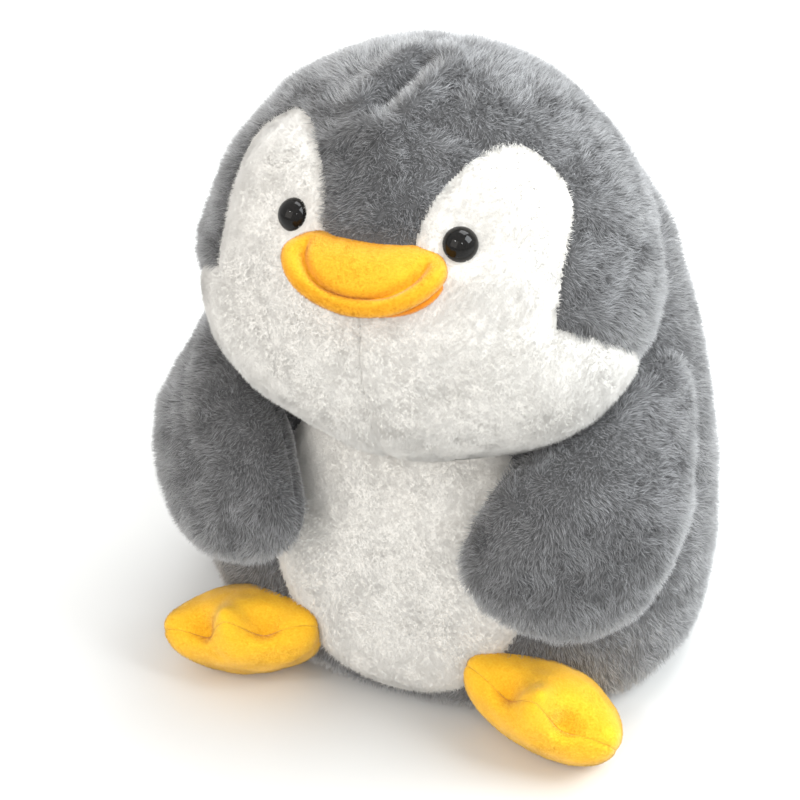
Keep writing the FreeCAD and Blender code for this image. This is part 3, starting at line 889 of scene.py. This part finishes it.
def make_wings():
    for word, skin, side in both_sides(wing_surface(72)):
        flip = np.array([side, 1.0, 1.0])
        seed = {"left": 131, "right": 133}[word]
        bend = (SHOULDER * flip + WING_ALONG * flip * 0.012, SHOULDER * flip - WING_ALONG * flip * 0.030)
        outward = skin.ways[:, 1] > -0.12
        length = np.where(skin.normals @ (WING_FRAME[:, 1] * flip) < -0.35, 0.30, 1.0)
        tag = "wing_" + word
        sew(tag + "_front", tag, skin, outward, GREY_BACKING, GREY_PILE,
            [tag + "_outer", tag + "_stuffing"], LONG_PILE, seed, scale=length, bend=bend)
        sew(tag + "_back", tag, skin, ~outward, GREY_BACKING, GREY_PILE,
            [tag + "_inner"], LONG_PILE, seed + 1, scale=length, bend=bend)


def foot_spot(across, ahead, lift):
    """A place in the left foot's own frame, as a place in the scene."""
    return FOOT_FRAME @ np.array([across, -ahead, lift]) + FOOT_PLACE


def make_feet():
    for word, skin, side in both_sides(foot_surface(64)):
        flip = np.array([side, 1.0, 1.0])
        seed = {"left": 141, "right": 143}[word]
        top = skin.ways[:, 2] > 0
        # Painted light on the foot's pile: a painted highlight round the middle toe's knob, and painted
        # shade in the dimples by the tacks.
        toe_tip = foot_spot(0.0, 0.044, 0.009) * flip
        shade = -0.45 * hill(np.linalg.norm(skin.points - toe_tip, axis=1), 0.011)
        for across, ahead in TACKS:
            spot = foot_spot(across, ahead - 0.008, 0.001) * flip
            shade += 0.80 * hill(np.linalg.norm(skin.points - spot, axis=1), 0.0120)
        tag = "foot_" + word
        sew(tag + "_top", tag, skin, top, YELLOW_BACKING, YELLOW_PILE,
            [tag + "_upper", tag + "_stuffing"], VELVET, seed, comb=(0.0, -0.4, -0.2), shade=shade)
        sew(tag + "_underside", tag, skin, ~top, YELLOW_BACKING, YELLOW_PILE,
            [tag + "_sole"], VELVET, seed + 1, comb=(0.0, -0.4, -0.2), shade=shade)
        strands = []
        for across, ahead in TACKS:
            middle = foot_spot(across, ahead - 0.012, 0.004)
            reach = FOOT_FRAME[:, 2] * 0.0025
            strands.append(((middle - reach) * flip, (middle + reach) * flip))
        thread(tag + "_tacks", strands, YELLOW_THREAD, tag, [tag + "_toe_tacks"])


def make_tuck():
    place, reach = TUCK_PLACE - TUCK_OUTWARD * 0.0052, np.array([0.006, 0.0, 0.0])
    thread("crown_tuck", [(place - reach, place + reach)], GREY_THREAD, "head", ["crown_tuck_thread"])


def finish_washers():
    """The washers stay as they were drawn; they only take their finish."""
    for node in ("eye_washer_left", "eye_washer_right"):
        item = bpy.data.objects[node]
        for place in item.material_slots:
            place.link = "OBJECT"
            place.material = WASHER_WHITE


# ---------------------------------------------------------------- room, lamps and camera

def make_room():
    material, tree, shader = new_material("pale_paper", 0.75)
    noise = tree.nodes.new("ShaderNodeTexNoise")
    noise.inputs["Scale"].default_value = 3.0
    tree.links.new(ramp(tree, [(0.3, (0.68, 0.68, 0.67)), (0.7, (0.71, 0.71, 0.70))], noise.outputs["Fac"]),
                   shader.inputs["Base Color"])
    mesh = bpy.data.meshes.new("floor")
    size = 12.0
    corners = [(-size, -size, 0.0), (size, -size, 0.0), (size, size, 0.0), (-size, size, 0.0)]
    mesh.from_pydata(corners, [], [(0, 1, 2, 3)])
    floor = add_item("floor", mesh, material)


def lamp(name, place, target, size, power, colour=(1.0, 1.0, 1.0)):
    light = bpy.data.lights.new(name, "AREA")
    light.shape = "SQUARE"
    light.size = size
    light.energy = power
    light.color = colour
    item = bpy.data.objects.new(name, light)
    item.location = place
    item.rotation_euler = (Vector(target) - Vector(place)).to_track_quat("-Z", "Y").to_euler()
    bpy.context.scene.collection.objects.link(item)


def make_camera():
    data = bpy.data.cameras.new("camera")
    data.lens = 72.0
    data.sensor_width = 36.0
    item = bpy.data.objects.new("camera", data)
    forward = Vector((-0.2856, 0.7597, -0.5842)).normalized()
    up = Vector((-0.1972, 0.55, 0.8116)).normalized()
    right = forward.cross(up)
    item.matrix_world = Matrix.Translation((0.2255, -0.6889, 0.6603)) @ Matrix(
        (right, up, -forward)).transposed().to_4x4()
    bpy.context.scene.collection.objects.link(item)
    bpy.context.scene.camera = item


def light_room():
    world = bpy.data.worlds.new("room_light")
    world.use_nodes = True
    background = world.node_tree.nodes["Background"]
    background.inputs["Color"].default_value = (1.0, 1.0, 1.0, 1.0)
    background.inputs["Strength"].default_value = 0.96
    bpy.context.scene.world = world
    bpy.context.scene.view_settings.view_transform = "Standard"
    lamp("window_lamp", (1.35, 0.05, 1.45), (0.0, 0.0, 0.2), 1.1, 38.0, (0.92, 0.97, 1.0))
    lamp("fill_lamp", (-0.7, -1.5, 1.1), (0.0, 0.0, 0.2), 1.4, 10.0, (1.0, 0.95, 0.88))
    lamp("top_lamp", (0.2, 0.75, 1.7), (0.0, 0.0, 0.25), 1.0, 22.0, (0.97, 0.99, 1.0))
    lamp("sparkle_left", (-0.55, -1.15, 1.45), (0.0, -0.1, 0.3), 0.09, 2.6)
    lamp("sparkle_right", (0.75, -1.25, 1.30), (0.0, -0.1, 0.3), 0.07, 1.6)


make_head()
make_beak()
make_eyes()
make_body()
make_wings()
make_feet()
make_tuck()
finish_washers()
make_room()
light_room()
make_camera()
